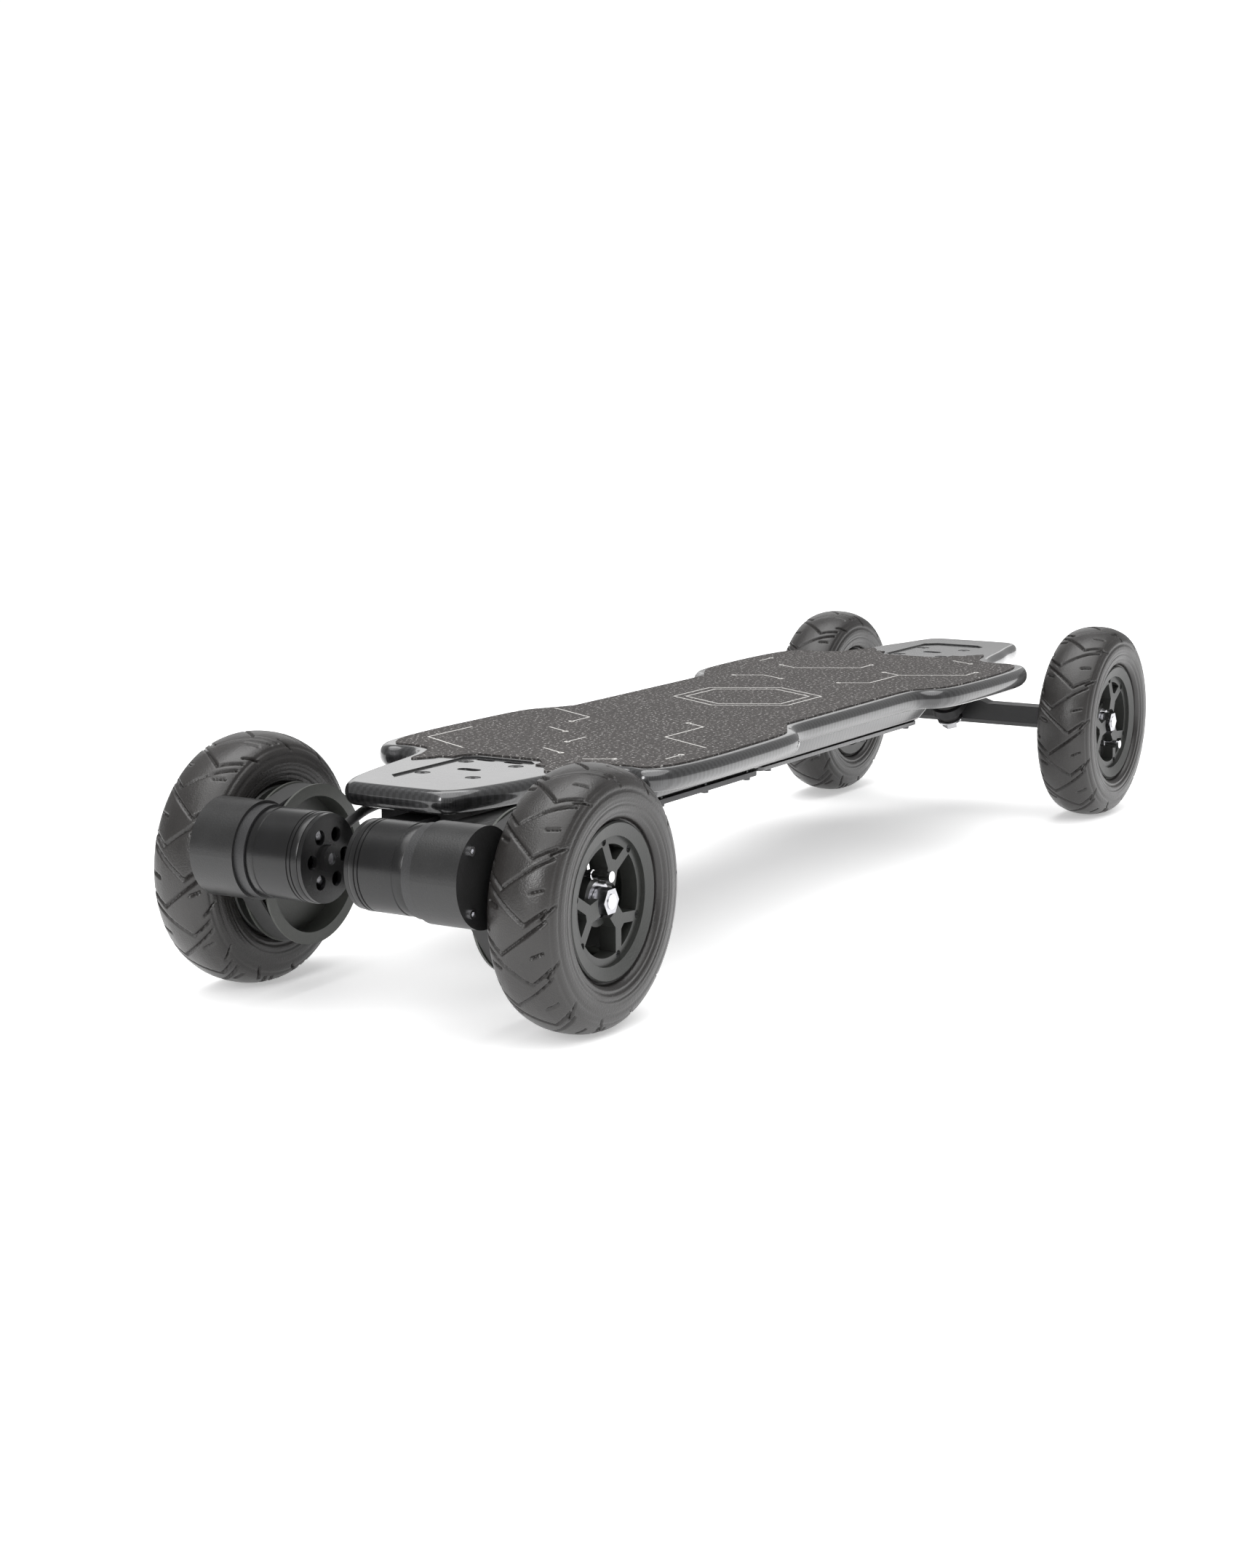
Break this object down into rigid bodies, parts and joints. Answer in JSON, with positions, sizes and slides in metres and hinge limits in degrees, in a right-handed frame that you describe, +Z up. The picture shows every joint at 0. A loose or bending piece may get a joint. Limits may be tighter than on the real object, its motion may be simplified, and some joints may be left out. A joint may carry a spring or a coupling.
{
  "type": "electric skateboard",
  "caption": "Low carbon-deck electric skateboard on air tyres, with leaning spring trucks, a battery belly and a toothed-belt drive to the rear wheels.",
  "frame": {"origin": "on the ground, below the middle of the overall box", "axes": "+X forward to the nose, +Y to the left side, +Z up"},
  "size_m": [1.0966, 0.32, 0.175],
  "materials": {
    "deck_shell": "glossy carbon fibre",
    "grip_tape": "coarse grit",
    "battery_lid": "glossy carbon fibre",
    "controller_lid": "satin black",
    "lid_seal": "matte",
    "lid_screws": "bright zinc",
    "battery_cells": "satin black",
    "battery_board": "satin black",
    "motor_controllers": "satin black",
    "charge_socket": "satin black",
    "socket_plug": "matte",
    "power_button": "bright zinc",
    "riser_pads": "matte",
    "truck_bolts": "black oxide",
    "baseplate_front": "black anodised",
    "baseplate_rear": "black anodised",
    "kingpins": "black oxide",
    "kingpin_nuts": "bright zinc",
    "bushings_front": "matte",
    "bushings_rear": "matte",
    "pivot_cups": "matte",
    "hanger_front": "black anodised",
    "axle_front": "bright zinc",
    "axle_hardware_front": "bright zinc",
    "hanger_rear": "black anodised",
    "axle_rear": "bright zinc",
    "axle_hardware_rear": "bright zinc",
    "motor_mounts": "black anodised",
    "motor_cans": "black anodised",
    "motor_end_bells": "black anodised",
    "motor_screws": "bright zinc",
    "belt_guards": "satin black",
    "belts": "matte",
    "motor_shaft_left": "bright zinc",
    "motor_pulley_left": "bright zinc",
    "motor_shaft_right": "bright zinc",
    "motor_pulley_right": "bright zinc",
    "motor_cables": "matte",
    "hub_front_left": "satin moulded",
    "tyre_front_left": "satin rubber",
    "hub_bolts_front_left": "zinc",
    "bearings_front_left": "zinc",
    "valve_front_left": "polished",
    "hub_front_right": "satin moulded",
    "tyre_front_right": "satin rubber",
    "hub_bolts_front_right": "zinc",
    "bearings_front_right": "zinc",
    "valve_front_right": "polished",
    "hub_rear_left": "satin moulded",
    "tyre_rear_left": "satin rubber",
    "hub_bolts_rear_left": "zinc",
    "bearings_rear_left": "zinc",
    "valve_rear_left": "polished",
    "drive_pulley_left": "grey anodised",
    "hub_rear_right": "satin moulded",
    "tyre_rear_right": "satin rubber",
    "hub_bolts_rear_right": "zinc",
    "bearings_rear_right": "zinc",
    "valve_rear_right": "polished",
    "drive_pulley_right": "grey anodised"
  },
  "bodies": {
    "deck": {"deck_shell": "deck_shell", "grip_tape": "grip_tape", "battery_lid": "battery_lid", "controller_lid": "controller_lid", "lid_seal": "lid_seal", "lid_screws": "lid_screws", "battery_cells": "battery_cells", "battery_board": "battery_board", "motor_controllers": "motor_controllers", "charge_socket": "charge_socket", "riser_pads": "riser_pads", "truck_bolts": "truck_bolts", "baseplate_front": "baseplate_front", "baseplate_rear": "baseplate_rear", "kingpins": "kingpins", "kingpin_nuts": "kingpin_nuts", "bushings_front": "bushings_front", "bushings_rear": "bushings_rear", "pivot_cups": "pivot_cups", "motor_cables": "motor_cables"},
    "wheel_front_left": {"hub_front_left": "hub_front_left", "tyre_front_left": "tyre_front_left", "hub_bolts_front_left": "hub_bolts_front_left", "bearings_front_left": "bearings_front_left", "valve_front_left": "valve_front_left"},
    "wheel_front_right": {"hub_front_right": "hub_front_right", "tyre_front_right": "tyre_front_right", "hub_bolts_front_right": "hub_bolts_front_right", "bearings_front_right": "bearings_front_right", "valve_front_right": "valve_front_right"},
    "wheel_rear_left": {"hub_rear_left": "hub_rear_left", "tyre_rear_left": "tyre_rear_left", "hub_bolts_rear_left": "hub_bolts_rear_left", "bearings_rear_left": "bearings_rear_left", "valve_rear_left": "valve_rear_left", "drive_pulley_left": "drive_pulley_left"},
    "wheel_rear_right": {"hub_rear_right": "hub_rear_right", "tyre_rear_right": "tyre_rear_right", "hub_bolts_rear_right": "hub_bolts_rear_right", "bearings_rear_right": "bearings_rear_right", "valve_rear_right": "valve_rear_right", "drive_pulley_right": "drive_pulley_right"},
    "truck_front": {"hanger_front": "hanger_front", "axle_front": "axle_front", "axle_hardware_front": "axle_hardware_front"},
    "truck_rear": {"hanger_rear": "hanger_rear", "axle_rear": "axle_rear", "axle_hardware_rear": "axle_hardware_rear", "motor_mounts": "motor_mounts", "motor_cans": "motor_cans", "motor_end_bells": "motor_end_bells", "motor_screws": "motor_screws", "belt_guards": "belt_guards", "belts": "belts"},
    "rotor_left": {"motor_shaft_left": "motor_shaft_left", "motor_pulley_left": "motor_pulley_left"},
    "rotor_right": {"motor_shaft_right": "motor_shaft_right", "motor_pulley_right": "motor_pulley_right"},
    "button": {"power_button": "power_button"},
    "plug": {"socket_plug": "socket_plug"}
  },
  "joints": [
    {"name": "steer_front", "type": "hinge", "parent": "deck", "child": "truck_front", "pos_m": [0.43225, 0, 0.094], "axis": [0.8829, 0, 0.4695], "range_deg": [-12, 12], "stiffness_Nm_per_rad": 60, "deforming": ["bushings_front"]},
    {"name": "steer_rear", "type": "hinge", "parent": "deck", "child": "truck_rear", "pos_m": [-0.41575, 0, 0.094], "axis": [-0.8829, 0, 0.4695], "range_deg": [-12, 12], "stiffness_Nm_per_rad": 60, "deforming": ["bushings_rear", "motor_cables"]},
    {"name": "spin_front_left", "type": "hinge", "parent": "truck_front", "child": "wheel_front_left", "pos_m": [0.46075, 0.134, 0.0875], "axis": [0, 1, 0], "continuous": true},
    {"name": "spin_front_right", "type": "hinge", "parent": "truck_front", "child": "wheel_front_right", "pos_m": [0.46075, -0.134, 0.0875], "axis": [0, 1, 0], "continuous": true},
    {"name": "spin_rear_left", "type": "hinge", "parent": "truck_rear", "child": "wheel_rear_left", "pos_m": [-0.44425, 0.134, 0.0875], "axis": [0, 1, 0], "continuous": true},
    {"name": "spin_rear_right", "type": "hinge", "parent": "truck_rear", "child": "wheel_rear_right", "pos_m": [-0.44425, -0.134, 0.0875], "axis": [0, 1, 0], "continuous": true},
    {"name": "rotor_spin_left", "type": "hinge", "parent": "truck_rear", "child": "rotor_left", "pos_m": [-0.51525, 0.06, 0.1105], "axis": [0, 1, 0], "continuous": true},
    {"name": "rotor_spin_right", "type": "hinge", "parent": "truck_rear", "child": "rotor_right", "pos_m": [-0.51525, -0.06, 0.1105], "axis": [0, 1, 0], "continuous": true},
    {"name": "button_press", "type": "slide", "parent": "deck", "child": "button", "axis": [1, 0, 0], "range_m": [0, 0.0015], "stiffness_N_per_m": 300},
    {"name": "plug_pull", "type": "slide", "parent": "deck", "child": "plug", "axis": [-1, 0, 0], "range_m": [0, 0.012]}
  ],
  "couplings": [
    {"joint": "rotor_spin_left", "follows": "spin_rear_left", "ratio": 4.4},
    {"joint": "rotor_spin_right", "follows": "spin_rear_right", "ratio": 4.4}
  ]
}
